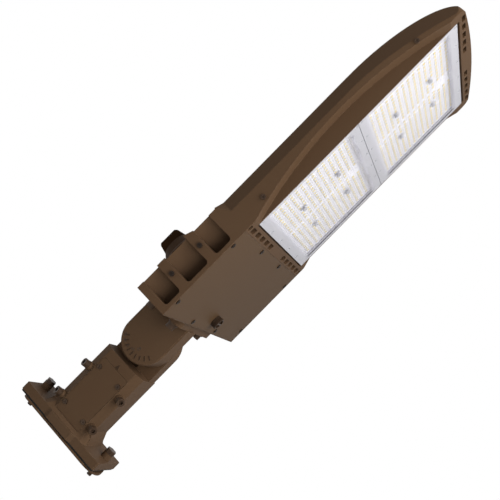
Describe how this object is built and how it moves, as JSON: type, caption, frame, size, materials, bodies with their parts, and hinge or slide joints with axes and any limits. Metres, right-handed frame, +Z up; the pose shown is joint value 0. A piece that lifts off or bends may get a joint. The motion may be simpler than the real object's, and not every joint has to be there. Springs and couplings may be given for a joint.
{
  "type": "shoebox area light",
  "caption": "Flat outdoor area light head with lamp panels below, a tilting knuckle, a short arm that bolts to a pole and a twist-lock photocell on top.",
  "frame": {"origin": "crown of the bowed pole plate, on the arm's axis and midway between the two pole bolts", "axes": "+X from the pole along the arm to the head's tip, +Z up, lamps facing -Z"},
  "size_m": [0.821, 0.3668, 0.1785],
  "materials": {
    "bronze": "fine textured bronze powder coat on cast aluminium",
    "bronze_hardware": "satin",
    "steel": "satin",
    "brass": "satin",
    "rubber": "matte",
    "dark_plastic": "matte",
    "white_plastic": "matte",
    "lens": "clear, gloss",
    "board": "white solder mask",
    "driver_case": "satin"
  },
  "bodies": {
    "mount": {"pole_plate": "bronze", "pole_pad": "rubber", "pole_bolts": "bronze_hardware", "pole_washers": "bronze_hardware", "mount_arm": "bronze", "arm_hatch": "bronze", "arm_hatch_pad": "rubber", "arm_hatch_screws": "bronze_hardware", "clamp_bolts": "bronze_hardware", "friction_ring": "brass", "pivot_washer": "steel"},
    "head": {"pivot_bolt": "steel", "knuckle": "bronze", "knuckle_seal": "rubber", "knuckle_screws": "bronze_hardware", "knuckle_washers": "bronze_hardware", "housing": "bronze", "driver_cover": "bronze", "cover_pad": "rubber", "cover_screws": "bronze_hardware", "sensor_plug": "dark_plastic", "plug_washer": "rubber", "rib_screws": "bronze_hardware", "wing_screws": "bronze_hardware", "lens_rear": "lens", "lens_front": "lens", "lens_seal_rear": "rubber", "lens_seal_front": "rubber", "board_rear": "board", "board_front": "board", "board_connectors": "white_plastic", "module_screws": "steel", "edge_screws": "steel", "led_driver": "driver_case", "surge_protector": "dark_plastic", "terminal_block": "white_plastic", "gear_screws": "steel", "receptacle": "dark_plastic", "receptacle_pad": "rubber", "receptacle_screws": "steel"},
    "photocell_cap": {"photocell": "dark_plastic", "cell_seal": "rubber", "cell_blades": "brass"}
  },
  "joints": [
    {"name": "tilt", "type": "hinge", "parent": "mount", "child": "head", "pos_m": [0.1897, 0, 0], "axis": [0, -1, 0], "range_deg": [-60, 60]},
    {"name": "cap_twist", "type": "hinge", "parent": "head", "child": "photocell_cap", "pos_m": [0.3124, 0, 0.0545], "axis": [0, 0, 1], "range_deg": [0, 20]}
  ]
}
